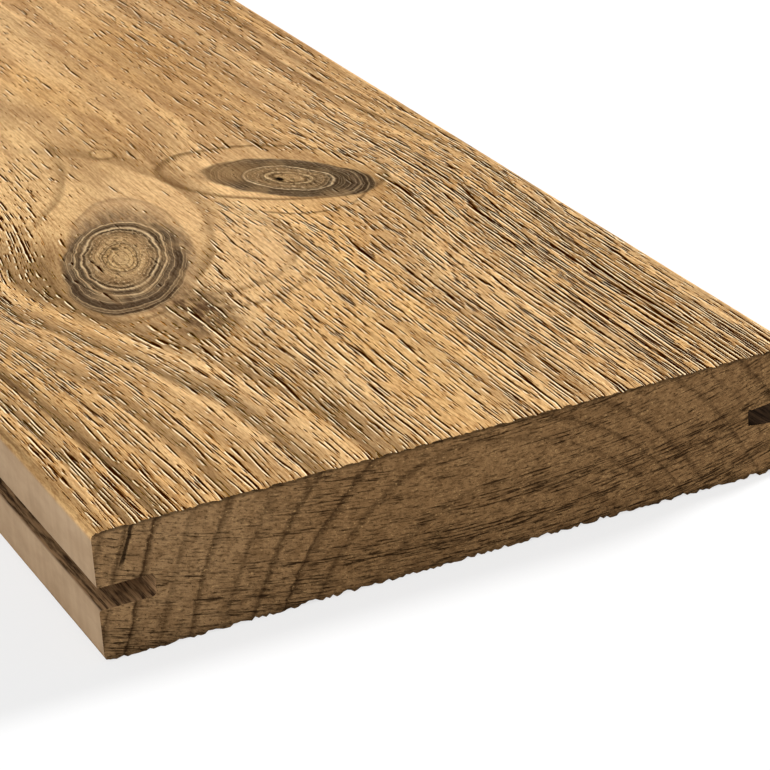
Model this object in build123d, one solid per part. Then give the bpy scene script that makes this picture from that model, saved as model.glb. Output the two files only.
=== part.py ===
from build123d import *
import os

# Heat treated softwood decking board: one planed length of timber, sawn square at both ends,
# with a clip groove run along each long side.
# Millimetres. +X runs along the board, +Y across it and +Z up through its thickness.
# The origin is the middle of the underside, so the board lies on the plane Z = 0.

# Overall size of the planed board
board_length = 1800.0
board_width = 145.0
board_thickness = 26.0

# Long edges of the walking face and of the underside, rounded over by the moulder
edge_radius = 1.5

# Clip groove in each long side, standing on the lower lip
lower_lip = 10.5
groove_height = 4.5
groove_depth = 11.0
groove_corner_radius = 0.8
groove_mouth_radius = 0.4

side = board_width / 2
groove_middle = lower_lip + groove_height / 2


def groove_mouths(corners):
    """The corners where the two grooves break out of the long sides."""
    outermost = corners.group_by(Axis.X)
    return (outermost[0] + outermost[-1]) - face_edges(corners)


def face_edges(corners):
    """The four outer corners of the section, on the underside and on the walking face."""
    levels = corners.group_by(Axis.Y)
    return levels[0] + levels[-1]


with BuildPart() as decking_board:
    # The section that the moulder leaves, drawn across the board
    with BuildSketch(Plane.YZ) as section:
        Rectangle(board_width, board_thickness, align=(Align.CENTER, Align.MIN))
        # The cutter is centred on the side, so that half of its width enters the board
        with Locations((-side, groove_middle), (side, groove_middle)):
            RectangleRounded(2 * groove_depth, groove_height, groove_corner_radius, mode=Mode.SUBTRACT)
        fillet(groove_mouths(section.vertices()), groove_mouth_radius)
        fillet(face_edges(section.vertices()), edge_radius)
    # The same section from one sawn end to the other
    extrude(amount=board_length / 2, both=True)

os.makedirs("parts", exist_ok=True)
export_step(decking_board.part, "parts/decking_board.step")
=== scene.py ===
import math
import bmesh
import bpy
import numpy as np
from mathutils import Matrix, Vector


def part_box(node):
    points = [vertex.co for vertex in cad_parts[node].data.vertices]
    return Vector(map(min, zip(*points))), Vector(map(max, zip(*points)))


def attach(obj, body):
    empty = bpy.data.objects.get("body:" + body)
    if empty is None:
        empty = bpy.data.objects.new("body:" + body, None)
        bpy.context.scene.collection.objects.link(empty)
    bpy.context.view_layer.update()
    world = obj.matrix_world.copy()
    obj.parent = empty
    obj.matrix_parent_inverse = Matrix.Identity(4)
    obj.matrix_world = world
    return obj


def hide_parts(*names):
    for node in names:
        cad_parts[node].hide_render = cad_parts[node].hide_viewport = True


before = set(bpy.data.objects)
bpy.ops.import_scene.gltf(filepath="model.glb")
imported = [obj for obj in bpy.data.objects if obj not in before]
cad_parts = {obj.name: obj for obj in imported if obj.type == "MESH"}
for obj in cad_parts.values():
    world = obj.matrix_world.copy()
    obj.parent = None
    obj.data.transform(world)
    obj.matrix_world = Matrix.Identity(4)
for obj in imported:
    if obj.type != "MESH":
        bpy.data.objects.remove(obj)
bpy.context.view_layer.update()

# The planed blank: one length of heat treated pine, run through a moulder that squares it, rounds its
# long edges and cuts a clip groove into each side. Its section is drawn once and drawn out along the
# board, with close rows where the grain is finely brushed and wide ones further along.
mm = 0.001
low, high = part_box("decking_board")
length, width, thickness = high - low
side = high.y
lower_lip = 10.5 * mm
groove_height = 4.5 * mm
groove_depth = 11.0 * mm
groove_top = lower_lip + groove_height
groove_back = side - groove_depth
edge_radius = 1.5 * mm
groove_corner_radius = 0.8 * mm
groove_mouth_radius = 0.4 * mm

right_half = [
    (side, low.z),
    (side, lower_lip),
    (groove_back, lower_lip),
    (groove_back, groove_top),
    (side, groove_top),
    (side, high.z),
]
outline = right_half + [(-y, z) for y, z in reversed(right_half)]
near = 1e-6

blank = bmesh.new()
corners = [blank.verts.new((low.x, y, z)) for y, z in outline]
blank.faces.new(corners)
face_corners = [v for v in corners if v.co.z < near or v.co.z > thickness - near]
back_corners = [v for v in corners if abs(v.co.y) < side - near]
mouth_corners = [v for v in corners if v not in face_corners and v not in back_corners]
for rounded, radius, steps in (
    (face_corners, edge_radius, 5),
    (back_corners, groove_corner_radius, 3),
    (mouth_corners, groove_mouth_radius, 2),
):
    bmesh.ops.bevel(
        blank, geom=rounded, offset=radius, offset_type="OFFSET", segments=steps, profile=0.5,
        affect="VERTICES", material=-1,
    )

top_columns = 400
bottom_columns = 200
lip_columns = 2
groove_columns = 2
arc_edge = 0.6 * mm


def columns_of(edge):
    """How many faces the blank gets across this edge of its section."""
    middle = (edge.verts[0].co + edge.verts[1].co) / 2
    if edge.calc_length() < arc_edge:
        return 1
    if middle.z > thickness - near:
        return top_columns
    if middle.z < near:
        return bottom_columns
    return lip_columns if abs(middle.y) > side - near else groove_columns


bmesh.ops.delete(blank, geom=blank.faces[:], context="FACES_ONLY")
for edge in blank.edges[:]:
    columns = columns_of(edge)
    if columns > 1:
        bmesh.ops.subdivide_edges(blank, edges=[edge], cuts=columns - 1)
first_end = bmesh.ops.contextual_create(blank, geom=blank.edges[:])["faces"]

# How far round the section each vertex lies from the middle of the underside, with more room for the faces
top_room, bottom_room, side_room = 1.6, 0.8, 0.6
around = blank.verts.layers.float.new("around")
corner = min(first_end[0].loops, key=lambda c: (c.vert.co.z, abs(c.vert.co.y)))
walked = 0.0
for step in range(len(first_end[0].loops)):
    corner.vert[around] = walked
    middle = (corner.vert.co + corner.link_loop_next.vert.co) / 2
    room = top_room if middle.z > thickness - near else bottom_room if middle.z < near else side_room
    walked += corner.edge.calc_length() * room
    corner = corner.link_loop_next
once_round = walked
drawn_out = bmesh.ops.extrude_face_region(blank, geom=first_end)["geom"]
far_corners = [g for g in drawn_out if isinstance(g, bmesh.types.BMVert)]
bmesh.ops.translate(blank, vec=(length, 0, 0), verts=far_corners)

# Which rows of faces reach which places along the board, in millimetres from its hidden end: a few rows
# close to each sawn edge, wide ones on the hidden length and narrow ones where the grain is finely brushed
board_length = length / mm
fine_from = 1470
row_stops = [0, 1, 2, 62, 128, 129, 130]
row_places = [0, 0.7, 2.0, fine_from, board_length - 2.0, board_length - 0.7, board_length]
lengthwise = [e for e in blank.edges if abs(e.verts[0].co.x - e.verts[1].co.x) > near]
bmesh.ops.subdivide_edges(blank, edges=lengthwise, cuts=row_stops[-1] - 1)
for vert in blank.verts:
    row = (vert.co.x - low.x) / length * row_stops[-1]
    vert.co.x = low.x + np.interp(row, row_stops, row_places) * mm
bmesh.ops.recalc_face_normals(blank, faces=blank.faces[:])
for face in blank.faces:
    is_end = abs(face.normal.x) > 0.5
    face.material_index = int(is_end)
    face.smooth = not is_end
for edge in blank.edges:
    if any(f.material_index for f in edge.link_faces):
        edge.smooth = False
mesh = bpy.data.meshes.new("decking_board_timber")
blank.to_mesh(mesh)
blank.free()
board = bpy.data.objects.new("decking_board_timber", mesh)
bpy.context.collection.objects.link(board)

# The tree that the board was sawn from: its pith ran below the underside, and branches grew out of it.
# The grain runs along the board and parts round each branch, which shows on the face as a knot.
# Each vertex keeps its distance from the pith, counted as the rings run, for the wood to be drawn from.
pith_below = 25 * mm
pith_reach = pith_below + thickness

# Each knot splits the grain at one line and pushes it aside both ways: how far, where most and over what
# run, in millimetres from the middle of the board
knots = [
    dict(split=24.5, up=16, up_at=778, up_run=40, down=16, down_at=752, down_run=30),
    dict(split=-10.5, up=10, up_at=760, up_run=45, down=28, down_at=788, down_run=52),
]
split_softness = 4.0
push_reach = 45.0
lean_start, lean_end = -32, 38
least_lean = 0.5


def parted(x, y):
    """Where a grain line that would run straight at y passes at x, in millimetres, round the knots."""
    moved = np.copy(y)
    for knot in knots:
        off = y - knot["split"]
        above = 0.5 * (1 + np.tanh(off / split_softness))
        fade = np.exp(-((off / push_reach) ** 2))
        up = knot["up"] * np.exp(-(((x - knot["up_at"]) / knot["up_run"]) ** 2))
        down = knot["down"] * np.exp(-(((x - knot["down_at"]) / knot["down_run"]) ** 2))
        moved += fade * (above * up - (1 - above) * down)
    return moved


def eased(value, start, end):
    """Goes smoothly from none to one while the value goes from start to end."""
    t = np.clip((value - start) / (end - start), 0, 1)
    return t * t * (3 - 2 * t)


def vertex_places(mesh):
    """Where each vertex of the mesh lies, one row for each."""
    places = np.empty(len(mesh.vertices) * 3, np.float32)
    mesh.vertices.foreach_get("co", places)
    return places.reshape(-1, 3)


# The grain line through each vertex, found by halving, with less of a bend the nearer it lies to the pith
x, y, z = vertex_places(mesh).astype(float).T / mm
lowest, highest = np.full_like(y, -150.0), np.full_like(y, 150.0)
for step in range(30):
    line = (lowest + highest) / 2
    beyond = parted(x, line) > y
    highest = np.where(beyond, line, highest)
    lowest = np.where(beyond, lowest, line)
rise = (z + pith_below / mm) / (pith_reach / mm)
line = y + (line - y) * rise

# The rings stand steeper on the left of the board than on its right
lean = least_lean + (1 - least_lean) * eased(line, lean_start, lean_end)
ring = np.hypot(line, pith_reach / mm - lean * (thickness / mm - z))


def oval_share(centre, tilt, reach):
    """Distance from a knot's middle as a share of its oval, at the face."""
    turn = math.radians(tilt)
    dx, dy = x - centre[0], y - centre[1]
    along = (dx * math.cos(turn) + dy * math.sin(turn)) / reach[0]
    across = (dy * math.cos(turn) - dx * math.sin(turn)) / reach[1]
    return np.hypot(along, across)


# How hard the brush has worked: more toward the ends and along the right edge, less on and between the knots
# and in the clear stretches, and not at all off the two faces
flat_half = (side - edge_radius) / mm
from_face = np.minimum(z, thickness / mm - z)
on_face = eased(from_face, 0.6, 0.0) * eased(np.abs(y), flat_half + 1.3, flat_half + 0.1)
brushed = 0.03 * eased(np.abs(x), 760, 850)
brushed += 0.075 * np.exp(-(((y - 55) / 12) ** 2)) * eased(x, 700, 790)
brushed -= 0.02 * eased(y, -40, -55) * eased(x, 800, 860)
for middle, reach, more in ((28, 5, 0.025), (2, 13, -0.03), (-33, 16, -0.04)):
    brushed += more * np.exp(-(((y - middle) / reach) ** 2)) * eased(x, 790, 830)
brushed -= (0.045 + 0.045 * eased(y, 45, 20)) * eased(x, 770, 690) * eased(x, 480, 600)
for centre, tilt, reach in (((759, 27), 38, (27, 17)), ((772, -17), -18, (52, 19))):
    brushed -= 0.14 * eased(oval_share(centre, tilt, reach), 1.1, 0.8)
brushed -= 0.02 * eased(oval_share((788, 5), -10, (32, 10)), 1.2, 0.6)
brushed -= 0.5 * (1 - on_face)

for name, values in (("ring", ring), ("brushed", brushed)):
    mesh.attributes.new(name, "FLOAT", "POINT").data.foreach_set("value", values.astype(np.float32))

# The grooves follow the parted grain only a little, and more on the left of the front knot and past it
swerve = 0.15 + 0.25 * eased(y, -18, -36) * eased(x, 735, 795)
grain = np.stack([x, y + swerve * (line - y), z], axis=1) * mm
grain_layer = mesh.attributes.new("grain", "FLOAT_VECTOR", "POINT")
grain_layer.data.foreach_set("vector", grain.astype(np.float32).ravel())


def add_node(tree, kind, inputs=None, **settings):
    """A node with its settings, and with each input set to a value or tied to another node's output."""
    node = tree.nodes.new(kind)
    for name, value in settings.items():
        setattr(node, name, value)
    for key, value in (inputs or {}).items():
        if isinstance(value, bpy.types.NodeSocket):
            tree.links.new(value, node.inputs[key])
        else:
            node.inputs[key].default_value = value
    return node


def maths(tree, operation, *values):
    """One sum, product or the like of numbers or of other nodes' outputs."""
    return add_node(tree, "ShaderNodeMath", dict(enumerate(values)), operation=operation).outputs[0]


def vector_maths(tree, operation, *values):
    """The same for places and directions."""
    return add_node(tree, "ShaderNodeVectorMath", dict(enumerate(values)), operation=operation).outputs[0]


def between(tree, value, start, end, first=0.0, last=1.0):
    """Goes smoothly from first to last while the value goes from start to end."""
    ends = {"Value": value, "From Min": start, "From Max": end, "To Min": first, "To Max": last}
    return add_node(tree, "ShaderNodeMapRange", ends, interpolation_type="SMOOTHSTEP").outputs[0]


def noise(tree, vector, cell, detail=2.0, roughness=0.5, seed=0.0, output=0):
    """Even noise whose cells measure the given millimetres each way."""
    per_cell = tuple(1 / (size * mm) for size in cell)
    sized = vector_maths(tree, "MULTIPLY_ADD", vector, per_cell, (seed, seed, seed))
    settings = {"Vector": sized, "Scale": 1.0, "Detail": detail, "Roughness": roughness}
    return add_node(tree, "ShaderNodeTexNoise", settings).outputs[output]


knots_end = 845 * mm


def groove_rows(tree, grain, brushed, pitch, run, widest, seed):
    """Grooves of one kind, one row of them for every pitch across the grain: how far inside a groove each
    point lies, in millimetres, and how strongly the painted highlight on the lip to its left shows. Past the
    knots the grooves are longer."""
    parts = add_node(tree, "ShaderNodeSeparateXYZ", {0: grain}).outputs
    squeeze = noise(tree, grain, (60, 6, 30), detail=1.0, seed=seed)
    squeeze = maths(tree, "MULTIPLY", squeeze, 2.2 / pitch)
    phase = maths(tree, "MULTIPLY_ADD", parts[1], 1 / (pitch * mm), squeeze)
    row = maths(tree, "FLOOR", phase)
    past_knots = maths(tree, "MAXIMUM", maths(tree, "SUBTRACT", parts[0], knots_end), 0.0)
    along = maths(tree, "MULTIPLY_ADD", past_knots, -0.3, parts[0])
    apart = maths(tree, "MULTIPLY", row, 0.71 * mm)
    lane = add_node(tree, "ShaderNodeCombineXYZ", {0: along, 1: apart, 2: parts[2]}).outputs[0]
    drift = noise(tree, lane, (18, 0.5, 30), detail=1.0, seed=seed + 1)
    force = noise(tree, lane, (run, 1, 30), detail=2.0, roughness=0.6, seed=seed + 2)
    force = maths(tree, "ADD", force, brushed)
    half = between(tree, force, 0.38, 0.65, -0.2, widest)
    middle = maths(tree, "MULTIPLY_ADD", drift, 0.9, 0.05)
    off = maths(tree, "MULTIPLY", maths(tree, "SUBTRACT", maths(tree, "FRACT", phase), middle), pitch)
    torn = maths(tree, "SUBTRACT", half, maths(tree, "ABSOLUTE", off))
    beside = maths(tree, "ADD", off, half)
    lip_highlight = maths(tree, "MULTIPLY", between(tree, beside, -0.38, -0.22), between(tree, beside, -0.05, -0.14))
    lip_highlight = maths(tree, "MULTIPLY", lip_highlight, between(tree, half, 0.0, 0.12))
    return torn, lip_highlight


def brushed_grooves(tree, grain, brushed):
    """Fine and coarse grooves that the wire brush has torn out between the fibres, with the painted
    highlight on their lips.
    """
    swing = noise(tree, grain, (45, 9, 30), detail=1.0, seed=2.6)
    swing = maths(tree, "MULTIPLY_ADD", swing, 1.4 * mm, -0.7 * mm)
    sideways = add_node(tree, "ShaderNodeCombineXYZ", {1: swing}).outputs[0]
    swung = vector_maths(tree, "ADD", grain, sideways)
    patches = noise(tree, grain, (50, 6, 30), detail=1.0, seed=7.3)
    brushed = maths(tree, "ADD", brushed, between(tree, patches, 0.3, 0.7, -0.035, 0.035))
    deepest, strongest_highlight = -1.0, 0.0
    for pitch, run, widest, seed in (
        (0.8, 4, 0.085, 31.0),
        (1.2, 7, 0.125, 11.0),
        (2.3, 11, 0.175, 21.0),
    ):
        torn, lip_highlight = groove_rows(tree, swung, brushed, pitch, run, widest, seed)
        deepest = maths(tree, "MAXIMUM", torn, deepest)
        strongest_highlight = maths(tree, "MAXIMUM", lip_highlight, strongest_highlight)
    return deepest, strongest_highlight


# The grooves are pressed into both faces, and the saw has chipped the faces' edges at the two ends
relief_depth = 0.16 * mm
chipped_length = 2.2 * mm
bottom_chip, top_chip = 0.9 * mm, 0.4 * mm
relief_tree = bpy.data.node_groups.new("brushed_relief", "GeometryNodeTree")
relief_tree.interface.new_socket("Geometry", in_out="INPUT", socket_type="NodeSocketGeometry")
relief_tree.interface.new_socket("Geometry", in_out="OUTPUT", socket_type="NodeSocketGeometry")
source = relief_tree.nodes.new("NodeGroupInput").outputs[0]
kept_value = "GeometryNodeInputNamedAttribute"
grain_here = add_node(relief_tree, kept_value, {"Name": "grain"}, data_type="FLOAT_VECTOR").outputs[0]
brushed_here = add_node(relief_tree, kept_value, {"Name": "brushed"}, data_type="FLOAT").outputs[0]
torn = brushed_grooves(relief_tree, grain_here, brushed_here)[0]
sunk = maths(relief_tree, "MULTIPLY", between(relief_tree, torn, -0.45, 0.15), relief_depth)
position = add_node(relief_tree, "GeometryNodeInputPosition").outputs[0]
parts = add_node(relief_tree, "ShaderNodeSeparateXYZ", {0: position}).outputs
inward = maths(relief_tree, "SIGN", maths(relief_tree, "SUBTRACT", thickness / 2, parts[2]))
from_middle = maths(relief_tree, "ABSOLUTE", parts[0])
at_end = between(relief_tree, from_middle, high.x - chipped_length, high.x)
chips = noise(relief_tree, position, (40, 2.4, 9), detail=2.0, roughness=0.9, seed=6.4)
chip_depth = between(relief_tree, parts[2], 0.0, thickness, bottom_chip, top_chip)
chipped = maths(relief_tree, "MULTIPLY", between(relief_tree, chips, 0.4, 0.7), chip_depth)
is_face = maths(relief_tree, "GREATER_THAN", brushed_here, -0.45)
chipped = maths(relief_tree, "MULTIPLY", maths(relief_tree, "MULTIPLY", chipped, at_end), is_face)
sunk = maths(relief_tree, "MULTIPLY", maths(relief_tree, "ADD", sunk, chipped), inward)
offset = add_node(relief_tree, "ShaderNodeCombineXYZ", {2: sunk}).outputs[0]
moved = add_node(relief_tree, "GeometryNodeSetPosition", {"Geometry": source, "Offset": offset})
relief_tree.links.new(moved.outputs[0], relief_tree.nodes.new("NodeGroupOutput").inputs[0])
board.modifiers.new("brushed_relief", "NODES").node_group = relief_tree
depsgraph = bpy.context.evaluated_depsgraph_get()
mesh = bpy.data.meshes.new_from_object(
    board.evaluated_get(depsgraph), preserve_all_data_layers=True, depsgraph=depsgraph
)
board.modifiers.clear()
board.data = mesh

# The board laid out flat, along it and round it, with its two ends in a strip above, for its colours to be
# baked on. The finely brushed stretch gets more than its share of the length.
margin = 0.002
sheet_height = 0.93
strip_bottom, strip_height = 0.945, 0.05
end_room = 0.48
coarse_room = 0.64
fine_place = low.x + fine_from * mm
corner_vertex = np.empty(len(mesh.loops), np.int32)
mesh.loops.foreach_get("vertex_index", corner_vertex)
place = vertex_places(mesh)[corner_vertex]
around = np.empty(len(mesh.vertices), np.float32)
mesh.attributes["around"].data.foreach_get("value", around)
around = around[corner_vertex] / once_round
flat = np.empty((len(mesh.loops), 2), np.float32)
flat[:, 0] = np.interp(place[:, 0], [low.x, fine_place, high.x], [margin, coarse_room, 1 - margin])
for face in mesh.polygons:
    corners = slice(face.loop_start, face.loop_start + face.loop_total)
    if face.material_index:
        strip_middle = 0.25 + 0.5 * (face.normal.x > 0)
        flat[corners, 0] = strip_middle + place[corners, 1] / width * end_room
        flat[corners, 1] = strip_bottom + place[corners, 2] / thickness * strip_height
        continue
    if np.ptp(around[corners]) > 0.5:
        around[corners] = np.where(around[corners] < 0.5, 1.0, around[corners])
    flat[corners, 1] = margin + around[corners] * sheet_height
mesh.uv_layers.new(name="OFBake").uv.foreach_set("vector", flat.ravel())


def tone(red, green, blue):
    """A colour as it looks on a screen, from 0 to 255, as the shader's linear colour."""
    parts = [c / 255 for c in (red, green, blue)]
    return tuple(c / 12.92 if c <= 0.04045 else ((c + 0.055) / 1.055) ** 2.4 for c in parts) + (1.0,)


def mixed(tree, share, first, second, blend="MIX"):
    """The first colour, with the given share of the second laid over it."""
    given = {0: share, 6: first, 7: second}
    return add_node(tree, "ShaderNodeMix", given, data_type="RGBA", blend_type=blend).outputs[2]


def ramp(tree, value, stops):
    """The colour that the stops, each a place and a colour, give for the value."""
    node = add_node(tree, "ShaderNodeValToRGB", {0: value})
    elements = node.color_ramp.elements
    for index, (at, colour) in enumerate(stops):
        element = elements[index] if index < 2 else elements.new(at)
        element.position = at
        element.color = colour
    return node.outputs[0]


# A branch tapers toward the pith, so what it leaves in the board is an oval that shrinks below the face
oval_group = bpy.data.node_groups.new("knot_oval", "ShaderNodeTree")
for name, kind in (("Position", "Vector"), ("Centre", "Vector"), ("Tilt", "Float"), ("Reach", "Vector")):
    oval_group.interface.new_socket(name, in_out="INPUT", socket_type="NodeSocket" + kind)
oval_group.interface.new_socket("Share", in_out="OUTPUT", socket_type="NodeSocketFloat")
given = oval_group.nodes.new("NodeGroupInput").outputs
height = add_node(oval_group, "ShaderNodeSeparateXYZ", {0: given["Position"]}).outputs[2]
rise = maths(oval_group, "DIVIDE", maths(oval_group, "ADD", height, pith_below), pith_reach)
spread = add_node(oval_group, "ShaderNodeCombineXYZ", {0: 1.0, 1: rise, 2: 0.0}).outputs[0]
middle = vector_maths(oval_group, "MULTIPLY", given["Centre"], spread)
flat = vector_maths(oval_group, "MULTIPLY", given["Position"], (1, 1, 0))
from_middle = vector_maths(oval_group, "SUBTRACT", flat, middle)
back = maths(oval_group, "MULTIPLY", given["Tilt"], -1.0)
turned = add_node(
    oval_group, "ShaderNodeVectorRotate", {"Vector": from_middle, "Angle": back}, rotation_type="Z_AXIS"
).outputs[0]
shares = vector_maths(oval_group, "DIVIDE", turned, given["Reach"])
far = add_node(oval_group, "ShaderNodeVectorMath", {0: shares}, operation="LENGTH").outputs[1]
far = maths(oval_group, "DIVIDE", far, rise)
oval_group.links.new(far, oval_group.nodes.new("NodeGroupOutput").inputs[0])


def oval(tree, position, centre, tilt, reach):
    """Distance from an oval's middle as a share of the oval, which is given in millimetres at the face."""
    given = {
        "Position": position,
        "Centre": (centre[0] * mm, centre[1] * mm, 0),
        "Tilt": math.radians(tilt),
        "Reach": (reach[0] * mm, reach[1] * mm, 1),
    }
    return add_node(tree, "ShaderNodeGroup", given, node_tree=oval_group).outputs[0]


pine = bpy.data.materials.new("brushed_pine")
pine.use_nodes = True
tree = pine.node_tree
shader = tree.nodes["Principled BSDF"]
position = add_node(tree, "ShaderNodeTexCoord").outputs["Object"]
grain_here = add_node(tree, "ShaderNodeAttribute", attribute_name="grain").outputs["Vector"]
ring_here = add_node(tree, "ShaderNodeAttribute", attribute_name="ring").outputs["Fac"]
brushed_here = add_node(tree, "ShaderNodeAttribute", attribute_name="brushed").outputs["Fac"]
parts = add_node(tree, "ShaderNodeSeparateXYZ", {0: position}).outputs

# Growth rings, a dark late band at the end of each year: how far from the pith, in millimetres, and how dark
ring_marks = [
    (28, 0.5), (33, 0.4), (37.5, 0.6), (42, 0.4), (49.2, 0.45), (53.5, 0.7), (58.4, 0.75), (63, 0.4),
    (68.3, 0.65), (73, 0.4), (78.5, 0.8), (83, 0.7), (87, 0.5),
]
wobble = noise(tree, position, (130, 25, 25), detail=2.0, seed=3.1)
ripple = noise(tree, grain_here, (35, 4, 8), detail=2.0, seed=1.7)
ring_here = maths(tree, "ADD", ring_here, maths(tree, "MULTIPLY_ADD", wobble, 5.0, -2.5))
ring_here = maths(tree, "ADD", ring_here, maths(tree, "MULTIPLY_ADD", ripple, 2.4, -1.2))
stops = [(0.0, (0, 0, 0, 1))]
for at, strength in ring_marks:
    stops.append((at / 100, (strength, strength, strength, 1)))
    stops.append((at / 100 + 0.012, (0, 0, 0, 1)))
late = ramp(tree, maths(tree, "DIVIDE", ring_here, 100.0), stops)
band = between(tree, parts[1], -8 * mm, 14 * mm, 1.0, 0.5)
band = maths(tree, "ADD", band, between(tree, parts[1], 38 * mm, 52 * mm, 0.0, 0.4))
band = maths(tree, "ADD", band, between(tree, parts[1], -22 * mm, -34 * mm, 0.0, 0.2))
fibre = noise(tree, grain_here, (9, 0.4, 4), detail=3.0, roughness=0.65, seed=5.2)
patchy = noise(tree, grain_here, (90, 14, 20), detail=2.0, seed=9.4)
colour = mixed(tree, between(tree, patchy, 0.3, 0.7), tone(244, 198, 134), tone(254, 213, 154))
colour = mixed(tree, maths(tree, "MULTIPLY", late, band), colour, tone(112, 86, 58))
ring_place = maths(tree, "MULTIPLY", ring_here, mm)
along_ring = add_node(tree, "ShaderNodeCombineXYZ", {0: parts[0], 1: ring_place, 2: parts[2]}).outputs[0]
streak = noise(tree, along_ring, (140, 1.5, 30), detail=2.0, roughness=0.6, seed=4.9)
streaks = between(tree, streak, 0.55, 0.35, 0.0, 0.24)
colour = mixed(tree, streaks, colour, tone(150, 112, 70), blend="MULTIPLY")

# Clear pale wood between the knots and beside them, a duller patch on the left in front of them, and duller
# streaks on the whole length behind them
warp = noise(tree, position, (14, 14, 14), detail=1.0, seed=4.4, output=1)
warp = vector_maths(tree, "SUBTRACT", warp, (0.5, 0.5, 0.5))
bent = vector_maths(tree, "MULTIPLY_ADD", warp, (3 * mm, 3 * mm, 0), position)
faded = noise(tree, position, (22, 14, 14), detail=2.0, seed=6.1)


def within(tree, parts, low_corner, high_corner, softness):
    """One inside a stretch of the face, in millimetres along and across the board, and none outside it."""
    share = 1.0
    for part, start, end in zip(parts, low_corner, high_corner):
        share = maths(tree, "MULTIPLY", share, between(tree, part, (start - softness) * mm, start * mm))
        share = maths(tree, "MULTIPLY", share, between(tree, part, (end + softness) * mm, end * mm))
    return share


for centre, tilt, reach, strength, shade in (
    ((778, -3), -14, (62, 30), 0.34, (252, 216, 164)),
    ((722, -24), -20, (52, 24), 0.85, (250, 210, 150)),
    ((862, 4), -4, (60, 18), 0.16, (255, 212, 146)),
    ((855, -40), -8, (75, 30), 0.15, (200, 160, 110)),
):
    patch = between(tree, oval(tree, bent, centre, tilt, reach), 1.15, 0.5, 0.0, strength)
    colour = mixed(tree, patch, colour, tone(*shade))
further = between(tree, parts[0], 790 * mm, 690 * mm, 0.0, 0.46)
further = maths(tree, "MULTIPLY", further, between(tree, streak, 0.6, 0.4, 0.3, 1.0))
colour = mixed(tree, further, colour, tone(160, 120, 82))

# Collars of parted grain round the two knots and a small eye: the edge of an oval, fading inward and
# outward, that shows within one stretch of the face
for centre, tilt, reach, inner, outer, strength, corners in (
    ((754, 26.5), 45, (27.5, 17), 0.1, 0.05, 0.75, ((720, 0), (776, 50))),
    ((763, 27.5), 0, (20.5, 16.5), 0.05, 0.04, 0.8, ((778, 18), (795, 42))),
    ((757.5, -32), 0, (54, 36.5), 0.025, 0.14, 0.5, ((712, -12), (772, 10))),
    ((757.5, -32), 0, (54, 36.5), 0.12, 0.03, 0.65, ((780, -12), (800, 6))),
    ((703, -84), 0, (74.5, 74.5), 0.035, 0.015, 0.5, ((710, -40), (764, -5))),
    ((787, -22), -19, (31.5, 16.2), 0.06, 0.03, 0.55, ((788, -40), (830, -22))),
    ((785, -6.5), 0, (29, 22.5), 0.1, 0.04, 0.5, ((785, -10), (820, 15))),
    ((781.6, -18.2), -14, (33.8, 12.8), 0.06, 0.03, 0.5, ((745, -20), (785, -2))),
    ((785, -6.5), 0, (37, 26), 0.05, 0.04, 0.5, ((800, -14), (830, 4))),
    ((720.5, -1.5), 0, (3.4, 2.7), 0.3, 0.3, 0.6, ((700, -10), (740, 10))),
):
    share = oval(tree, bent, centre, tilt, reach)
    inside = between(tree, share, 1 - inner, 1.0)
    edge = maths(tree, "MULTIPLY", inside, between(tree, share, 1 + outer, 1.0, 0.0, strength))
    edge = maths(tree, "MULTIPLY", edge, between(tree, faded, 0.3, 0.5, 0.45, 1.0))
    edge = maths(tree, "MULTIPLY", edge, within(tree, parts, *corners, 10))
    colour = mixed(tree, edge, colour, tone(116, 86, 52))

# Smoky and bruised wood at the feet of the knots and beside them
smoke = noise(tree, grain_here, (7, 1.4, 6), detail=3.0, roughness=0.65, seed=3.7)
for centre, tilt, reach, soft, strength, shade in (
    ((722, -7), 0, (20, 8), 0.5, 0.3, (150, 114, 72)),
    ((729, 4), 10, (30, 5.5), 0.5, 0.55, (150, 114, 74)),
    ((751, 17.5), 30, (10.5, 6), 0.3, 0.8, (136, 104, 70)),
    ((685, 36), 3, (80, 16), 0.8, 0.35, (164, 126, 84)),
    ((870, 28), -2, (45, 4.5), 0.6, 0.5, (164, 126, 84)),
    ((781.6, -18.2), -14, (33.5, 12.6), 0.1, 0.6, (190, 156, 116)),
    ((781.5, -20), -17, (29.5, 13.6), 0.3, 0.75, (116, 94, 71)),
    ((785, -10.5), -16, (17, 5.5), 0.5, 0.7, (110, 89, 67)),
    ((765.5, -17.5), -35, (10, 5), 0.7, 0.4, (84, 66, 48)),
    ((819, -18.5), -8, (18.5, 10), 0.7, 1.0, (98, 73, 50)),
):
    share = oval(tree, bent, centre, tilt, reach)
    cover = between(tree, share, 1.08, 1.08 - soft, 0.0, strength)
    cover = maths(tree, "MULTIPLY", cover, between(tree, smoke, 0.35, 0.62, 0.45, 1.0))
    colour = mixed(tree, cover, colour, tone(*shade))
eye = oval(tree, bent, (720, -1.5), 0, (3.2, 2.4))
colour = mixed(tree, between(tree, eye, 1.1, 0.7, 0.0, 0.5), colour, tone(222, 182, 126))
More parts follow.
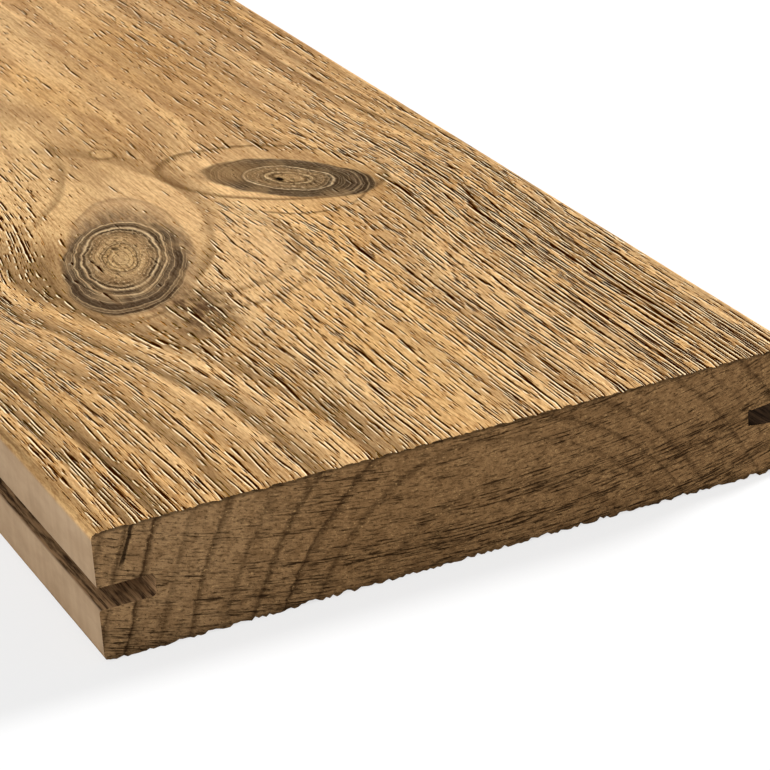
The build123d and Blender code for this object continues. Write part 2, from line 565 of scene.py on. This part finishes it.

# The two knots: branches cut across, each a pale heart and a dark rim of narrow rings, whose colours are
# given by their share of the heart's oval. The pale ring lines at the edge of each heart and in each rim are
# partly the rings' own colour and partly painted highlights on raised rings.
speck = noise(tree, position, (1.1, 0.7, 0.7), detail=2.0, roughness=0.6, seed=8.8)
heart_height = 0.0
knotted = 0.0
crook = noise(tree, position, (5, 5, 5), detail=2.0, seed=5.5, output=1)
crook = vector_maths(tree, "SUBTRACT", crook, (0.5, 0.5, 0.5))
crooked = vector_maths(tree, "MULTIPLY_ADD", crook, (2 * mm, 1.6 * mm, 0), bent)
cloud = noise(tree, position, (9, 6, 6), detail=2.0, seed=2.4)
for heart_oval, rim_oval, rings in (
    (((783, -21.2), -20, (17.5, 8.0)), ((788, -22.4), -19, (26.5, 13)), [
        (0.0, (176, 140, 92)), (0.16, (206, 170, 118)), (0.42, (190, 154, 104)), (0.5, (96, 70, 40)),
        (0.55, (204, 168, 118)), (0.66, (176, 142, 98)), (0.82, (146, 116, 80)), (0.93, (112, 90, 64)),
        (0.97, (74, 56, 38)), (1.02, (222, 192, 148)), (1.08, (108, 88, 66)), (1.16, (76, 60, 42)),
        (1.21, (212, 180, 136)), (1.27, (92, 74, 54)), (1.42, (110, 90, 68)), (1.5, (86, 68, 50)),
        (1.62, (78, 62, 46)), (1.68, (132, 108, 80)), (1.74, (84, 66, 48)), (1.9, (104, 82, 58)),
    ]),
    (((760, 28), 34, (11.0, 6.6)), ((759.8, 28.3), 38, (21.2, 10.7)), [
        (0.0, (172, 138, 92)), (0.25, (186, 150, 102)), (0.42, (92, 68, 42)), (0.5, (212, 178, 128)),
        (0.6, (108, 84, 56)), (0.78, (166, 134, 94)), (0.94, (88, 70, 48)), (1.01, (226, 196, 152)),
        (1.07, (92, 74, 53)), (1.3, (90, 73, 53)), (1.46, (72, 56, 40)), (1.52, (144, 120, 92)),
        (1.57, (70, 54, 38)), (1.66, (128, 106, 80)), (1.71, (70, 54, 38)), (1.9, (88, 70, 50)),
    ]),
):
    share = oval(tree, crooked, *heart_oval)
    rim = oval(tree, crooked, *rim_oval)
    # The pale stops near the heart's edge and in the rim are partly painted highlights on raised rings
    stops = [(at / 2, tone(*shade)) for at, shade in rings]
    narrow = maths(tree, "MULTIPLY", share, 15.0)
    years = add_node(
        tree, "ShaderNodeTexNoise", {"W": narrow, "Scale": 1.0, "Detail": 2.0}, noise_dimensions="1D"
    ).outputs[0]
    heart = ramp(tree, maths(tree, "DIVIDE", share, 2.0), stops)
    heart = mixed(tree, between(tree, years, 0.48, 0.38, 0.0, 0.5), heart, tone(62, 46, 30))
    heart = mixed(tree, between(tree, years, 0.53, 0.64, 0.0, 0.45), heart, tone(204, 172, 128))
    in_heart = between(tree, share, 1.15, 0.85, 0.25, 1.0)
    dark_specks = maths(tree, "MULTIPLY", between(tree, speck, 0.48, 0.3, 0.0, 0.75), in_heart)
    heart = mixed(tree, dark_specks, heart, tone(56, 38, 22))
    pale_specks = maths(tree, "MULTIPLY", between(tree, speck, 0.56, 0.72, 0.0, 0.6), in_heart)
    heart = mixed(tree, pale_specks, heart, tone(244, 212, 164))
    heart = mixed(tree, between(tree, cloud, 0.45, 0.7, 0.0, 0.5), heart, tone(168, 136, 96))
    is_knot = between(tree, rim, 1.06, 0.97)
    knotted = maths(tree, "MAXIMUM", is_knot, knotted)
    colour = mixed(tree, is_knot, colour, heart)
    paleness = add_node(tree, "ShaderNodeRGBToBW", {0: heart}).outputs[0]
    heart_height = maths(tree, "MULTIPLY_ADD", is_knot, paleness, heart_height)
for centre, tilt, reach, strength, shade in (
    ((748, 17.5), 38, (11, 10), 0.75, (150, 118, 80)),
    ((771, 37), 38, (12, 10), 0.25, (58, 45, 33)),
):
    patch = between(tree, oval(tree, bent, centre, tilt, reach), 1.1, 0.3, 0.0, strength)
    colour = mixed(tree, maths(tree, "MULTIPLY", patch, knotted), colour, tone(*shade))
for centre, reach, strength in (
    ((759.5, 26.3), (1.5, 0.8), 1.0), ((761.2, 28.8), (0.6, 0.4), 0.5), ((777.5, -20.5), (1.3, 0.7), 0.7),
):
    pith = between(tree, oval(tree, position, centre, 10, reach), 1.3, 0.6, 0.0, strength)
    colour = mixed(tree, pith, colour, tone(24, 15, 9))

# Fibres and brushed grooves, with painted shade in each groove and a painted highlight on the lip on one
# side of it
dark_fibres = between(tree, fibre, 0.58, 0.35, 0.0, 0.42)
colour = mixed(tree, dark_fibres, colour, tone(150, 112, 74), blend="MULTIPLY")
clear_wood = maths(tree, "SUBTRACT", 1.0, knotted)
pores = noise(tree, grain_here, (1.6, 0.24, 1), detail=2.0, roughness=0.6, seed=6.8)
pores = maths(tree, "MULTIPLY", between(tree, pores, 0.6, 0.34, 0.0, 0.4), clear_wood)
colour = mixed(tree, pores, colour, tone(158, 118, 76), blend="MULTIPLY")
torn, lip_highlight = brushed_grooves(tree, grain_here, brushed_here)
# Painted shade round each groove, a brown band
edge = maths(tree, "MULTIPLY", between(tree, torn, -0.15, -0.04, 0.0, 0.85), clear_wood)
colour = mixed(tree, edge, colour, tone(170, 106, 28), blend="DARKEN")
# Painted highlight on the lip beside each groove, weaker on the knots
lip_highlight = maths(tree, "MULTIPLY", lip_highlight, maths(tree, "MULTIPLY_ADD", clear_wood, 0.78, 0.2))
colour = mixed(tree, lip_highlight, colour, tone(255, 236, 196))
# Painted shade at the groove floors, near black
colour = mixed(tree, between(tree, torn, -0.05, 0.0), colour, tone(44, 15, 1))

# The planed sides below the rounded edges, with faint marks of the knives across them, and the grooves: torn
# fibres in the left one, darkened with painted shade, and near black painted shade in the right one
below_face = maths(tree, "MINIMUM", parts[2], maths(tree, "SUBTRACT", thickness, parts[2]))
planed = between(tree, below_face, 0.7 * mm, 1.9 * mm)
knives = noise(tree, position, (3.2, 60, 60), detail=2.0, seed=1.1)
cloudy = noise(tree, position, (45, 12, 6), detail=3.0, seed=2.2)
smooth_wood = mixed(tree, cloudy, tone(178, 148, 116), tone(206, 178, 146))
smooth_wood = mixed(tree, between(tree, knives, 0.3, 0.7, 0.14, 0.0), smooth_wood, tone(120, 92, 64))
smooth_wood = mixed(tree, between(tree, fibre, 0.6, 0.35, 0.0, 0.14), smooth_wood, tone(120, 92, 64))
colour = mixed(tree, planed, colour, smooth_wood)
out = maths(tree, "ABSOLUTE", parts[1])
cut = maths(tree, "MULTIPLY", planed, between(tree, out, side - 0.15 * mm, side - 0.6 * mm))
shreds = noise(tree, position, (9, 0.7, 0.5), detail=3.0, roughness=0.7, seed=3.3)
shreds = between(tree, shreds, 0.35, 0.65)
# Painted shade in the clip grooves: the left one's torn fibres darkened, the right one nearly black
torn_wood_and_shade = mixed(tree, shreds, tone(66, 48, 34), tone(170, 134, 96))
right_groove_shade = mixed(tree, shreds, tone(32, 23, 17), tone(60, 45, 32))
groove_wood_and_shade = mixed(tree, between(tree, parts[1], -10 * mm, 10 * mm), torn_wood_and_shade, right_groove_shade)
colour = mixed(tree, cut, colour, groove_wood_and_shade)
tree.links.new(colour, shader.inputs["Base Color"])
shader.inputs["Roughness"].default_value = 0.75
shader.inputs["Specular IOR Level"].default_value = 0.0
bed = between(tree, torn, -0.16, 0.03)
rise = maths(tree, "MULTIPLY_ADD", bed, -0.28, maths(tree, "MULTIPLY", fibre, 0.1))
rise = maths(tree, "MULTIPLY_ADD", heart_height, 0.7, rise)
bump = add_node(tree, "ShaderNodeBump", {"Height": rise, "Distance": mm, "Strength": 1.0})
tree.links.new(bump.outputs[0], shader.inputs["Normal"])

# The sawn ends, where the year rings are cut across and the saw has scored and bruised the wood
sawn = bpy.data.materials.new("sawn_end")
sawn.use_nodes = True
tree = sawn.node_tree
shader = tree.nodes["Principled BSDF"]
position = add_node(tree, "ShaderNodeTexCoord").outputs["Object"]
parts = add_node(tree, "ShaderNodeSeparateXYZ", {0: position}).outputs
lean = between(tree, parts[1], lean_start * mm, lean_end * mm, least_lean, 1.0)
drop = maths(tree, "MULTIPLY", maths(tree, "SUBTRACT", thickness, parts[2]), lean)
above_pith = maths(tree, "SUBTRACT", pith_reach, drop)
squares = maths(tree, "MULTIPLY_ADD", parts[1], parts[1], maths(tree, "MULTIPLY", above_pith, above_pith))
wobble = noise(tree, position, (200, 18, 18), detail=2.0, seed=3.1)
fuzz = noise(tree, position, (20, 1.6, 1.6), detail=2.0, seed=5.0)
ring_here = maths(tree, "DIVIDE", maths(tree, "SQRT", squares), mm)
ring_here = maths(tree, "ADD", ring_here, maths(tree, "MULTIPLY_ADD", wobble, 2.4, -1.2))
blurred = maths(tree, "ADD", ring_here, maths(tree, "MULTIPLY_ADD", fuzz, 1.0, -0.5))
stops = [(0.0, (0, 0, 0, 1))]
for at, strength in ring_marks[3:]:
    stops.append((at / 100 - 0.01, (0, 0, 0, 1)))
    stops.append((at / 100, (strength, strength, strength, 1)))
    stops.append((at / 100 + 0.004, (0, 0, 0, 1)))
late = ramp(tree, maths(tree, "DIVIDE", blurred, 100.0), stops)
mottle = noise(tree, position, (30, 2.6, 2.2), detail=3.0, roughness=0.6, seed=7.7)
broad = noise(tree, position, (60, 30, 14), detail=2.0, seed=8.3)
toward_middle = between(tree, parts[1], -66 * mm, -15 * mm)
colour = mixed(tree, toward_middle, tone(170, 135, 95), tone(157, 121, 81))
colour = mixed(tree, between(tree, broad, 0.3, 0.7, 0.0, 0.3), colour, tone(120, 88, 56))
colour = mixed(tree, between(tree, mottle, 0.62, 0.3, 0.0, 0.5), colour, tone(104, 75, 46))
late = maths(tree, "MULTIPLY", late, between(tree, parts[1], -20 * mm, 25 * mm, 1.25, 0.85))
colour = mixed(tree, late, colour, tone(66, 46, 28))

# The saw's teeth score arcs, whose middle lies above the board
saw_middle = (0, 7.5 * mm, 240 * mm)
saw_reach = 230 * mm
arm = vector_maths(tree, "MULTIPLY", vector_maths(tree, "SUBTRACT", position, saw_middle), (0, 1, 1))
arm_length = add_node(tree, "ShaderNodeVectorMath", {0: arm}, operation="LENGTH").outputs[1]
arm_parts = add_node(tree, "ShaderNodeSeparateXYZ", {0: arm}).outputs
hanging = maths(tree, "MULTIPLY", arm_parts[2], -1.0)
swept = maths(tree, "MULTIPLY", maths(tree, "ARCTAN2", arm_parts[1], hanging), saw_reach)
on_arc = add_node(tree, "ShaderNodeCombineXYZ", {0: swept, 1: arm_length, 2: 0.0}).outputs[0]
scores = noise(tree, on_arc, (5, 0.36, 1), detail=2.0, roughness=0.6, seed=2.9)
score_patches = noise(tree, on_arc, (34, 2.2, 1), detail=1.0, seed=6.6)
level = between(tree, score_patches, 0.35, 0.65, 0.32, 0.43)
level = maths(tree, "ADD", level, between(tree, parts[2], 22 * mm, 4 * mm, -0.03, 0.02))
level = maths(tree, "ADD", level, between(tree, parts[1], -60 * mm, -20 * mm, -0.03, 0.015))
scored = maths(tree, "SUBTRACT", level, scores)
pits = noise(tree, position, (20, 0.55, 0.45), detail=1.0, seed=4.1)
pale = maths(tree, "MULTIPLY", between(tree, pits, 0.63, 0.72), between(tree, mottle, 0.4, 0.6, 0.2, 0.7))
colour = mixed(tree, pale, colour, tone(200, 160, 108))
colour = mixed(tree, between(tree, pits, 0.36, 0.26, 0.0, 0.7), colour, tone(52, 34, 18))
crumbs = noise(tree, on_arc, (1.3, 0.45, 1), detail=3.0, roughness=0.7, seed=9.9)
colour = mixed(tree, between(tree, crumbs, 0.5, 0.32, 0.0, 0.7), colour, tone(62, 42, 24))
colour = mixed(tree, between(tree, crumbs, 0.56, 0.75, 0.0, 0.6), colour, tone(200, 160, 110))
colour = mixed(tree, between(tree, scored, 0.0, 0.05, 0.0, 0.92), colour, tone(46, 30, 16))

# A drying check that follows one ring down from the face, a painted shadow just under the top edge and a
# darker band along the bottom edge
check_ring = 82.4
check_at = maths(tree, "MULTIPLY_ADD", fuzz, 0.8, maths(tree, "SUBTRACT", ring_here, check_ring))
check = between(tree, maths(tree, "ABSOLUTE", check_at), 0.4, 0.12)
check = maths(tree, "MULTIPLY", check, between(tree, parts[2], 17.5 * mm, 19 * mm))
check = maths(tree, "MULTIPLY", check, maths(tree, "LESS_THAN", parts[1], 0.0))
colour = mixed(tree, maths(tree, "MULTIPLY", check, 0.9), colour, tone(34, 22, 12))
# Painted shadow just under the top edge, and the end drawn darker along the bottom edge
rim = between(tree, parts[2], thickness - 1.1 * mm, thickness - 0.4 * mm, 0.0, 0.6)
rim = maths(tree, "MAXIMUM", rim, between(tree, parts[2], 1.5 * mm, 0.6 * mm, 0.0, 0.5))
colour = mixed(tree, rim, colour, tone(48, 35, 22))
tree.links.new(colour, shader.inputs["Base Color"])
shader.inputs["Roughness"].default_value = 0.9
shader.inputs["Specular IOR Level"].default_value = 0.0
rise = maths(tree, "MULTIPLY", mottle, 0.3)
rise = maths(tree, "MULTIPLY_ADD", between(tree, scored, -0.1, 0.06), -0.4, rise)
rise = maths(tree, "MULTIPLY_ADD", check, -0.5, maths(tree, "MULTIPLY_ADD", crumbs, 0.5, rise))
bump = add_node(tree, "ShaderNodeBump", {"Height": rise, "Distance": mm, "Strength": 1.0})
tree.links.new(bump.outputs[0], shader.inputs["Normal"])

mesh.materials.append(pine)
mesh.materials.append(sawn)
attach(board, "root")
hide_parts("decking_board")

# The floor that the board lies on: a plain white sheet that stays white to the camera and still takes the
# board's shadow.
floor_reach = 20
floor_mesh = bpy.data.meshes.new("floor")
sheet = bmesh.new()
bmesh.ops.create_grid(sheet, x_segments=1, y_segments=1, size=floor_reach)
sheet.to_mesh(floor_mesh)
sheet.free()
floor = bpy.data.objects.new("floor", floor_mesh)
bpy.context.collection.objects.link(floor)


def seen_directly(tree):
    """One for what the camera sees, also mirrored or through glass, and none for the light on the board."""
    path = add_node(tree, "ShaderNodeLightPath").outputs
    seen = maths(tree, "MAXIMUM", path["Is Camera Ray"], path["Is Glossy Ray"])
    return maths(tree, "MAXIMUM", seen, path["Is Transmission Ray"])


white = bpy.data.materials.new("white_floor")
white.use_nodes = True
tree = white.node_tree
tree.nodes.clear()
seen = seen_directly(tree)
paleness = mixed(tree, seen, (0.8, 0.8, 0.8, 1), (1, 1, 1, 1))
paper = add_node(tree, "ShaderNodeBsdfDiffuse", {"Color": paleness}).outputs[0]
glow = add_node(tree, "ShaderNodeEmission", {"Color": (1, 1, 1, 1), "Strength": 1.0}).outputs[0]
glowing = maths(tree, "MULTIPLY", seen, 0.7)
both = add_node(tree, "ShaderNodeMixShader", {0: glowing, 1: paper, 2: glow}).outputs[0]
tree.links.new(both, add_node(tree, "ShaderNodeOutputMaterial").inputs[0])
floor_mesh.materials.append(white)

# Soft studio light: an even white surround, one wide lamp low behind the board's right side and a weaker
# one in front of its left side.
world = bpy.data.worlds.new("studio")
bpy.context.scene.world = world
world.use_nodes = True
tree = world.node_tree
surround = tree.nodes["Background"]
surround.inputs["Color"].default_value = (1, 1, 1, 1)
brightness = maths(tree, "MULTIPLY_ADD", seen_directly(tree), 0.72, 0.28)
tree.links.new(brightness, surround.inputs["Strength"])
for name, toward, strength, spread in (
    ("key", (-0.2, 0.86, 0.46), 4.6, 12),
    ("fill", (0.5, -0.75, 0.45), 1.6, 60),
):
    lamp_data = bpy.data.lights.new(name, "SUN")
    lamp_data.energy = strength
    lamp_data.angle = math.radians(spread)
    lamp = bpy.data.objects.new(name, lamp_data)
    lamp.rotation_euler = Vector(toward).to_track_quat("Z", "Y").to_euler()
    bpy.context.collection.objects.link(lamp)

# The camera, where the photograph was taken from: just beyond the visible end and a little to its left.
camera_place = Vector((1346.4, -215.0, 263.2)) * mm
camera_aim = Vector((873.0, -2.3, 26.0)) * mm
camera_roll = math.radians(3.97)
camera_data = bpy.data.cameras.new("camera")
camera_data.sensor_width = 36.0
camera_data.lens = 140.3
camera_data.clip_start = 0.01
camera = bpy.data.objects.new("camera", camera_data)
bpy.context.collection.objects.link(camera)
turn = (camera_aim - camera_place).to_track_quat("-Z", "Y").to_matrix().to_4x4()
camera.matrix_world = Matrix.Translation(camera_place) @ turn @ Matrix.Rotation(-camera_roll, 4, "Z")
bpy.context.scene.camera = camera
bpy.context.scene.view_settings.view_transform = "Standard"
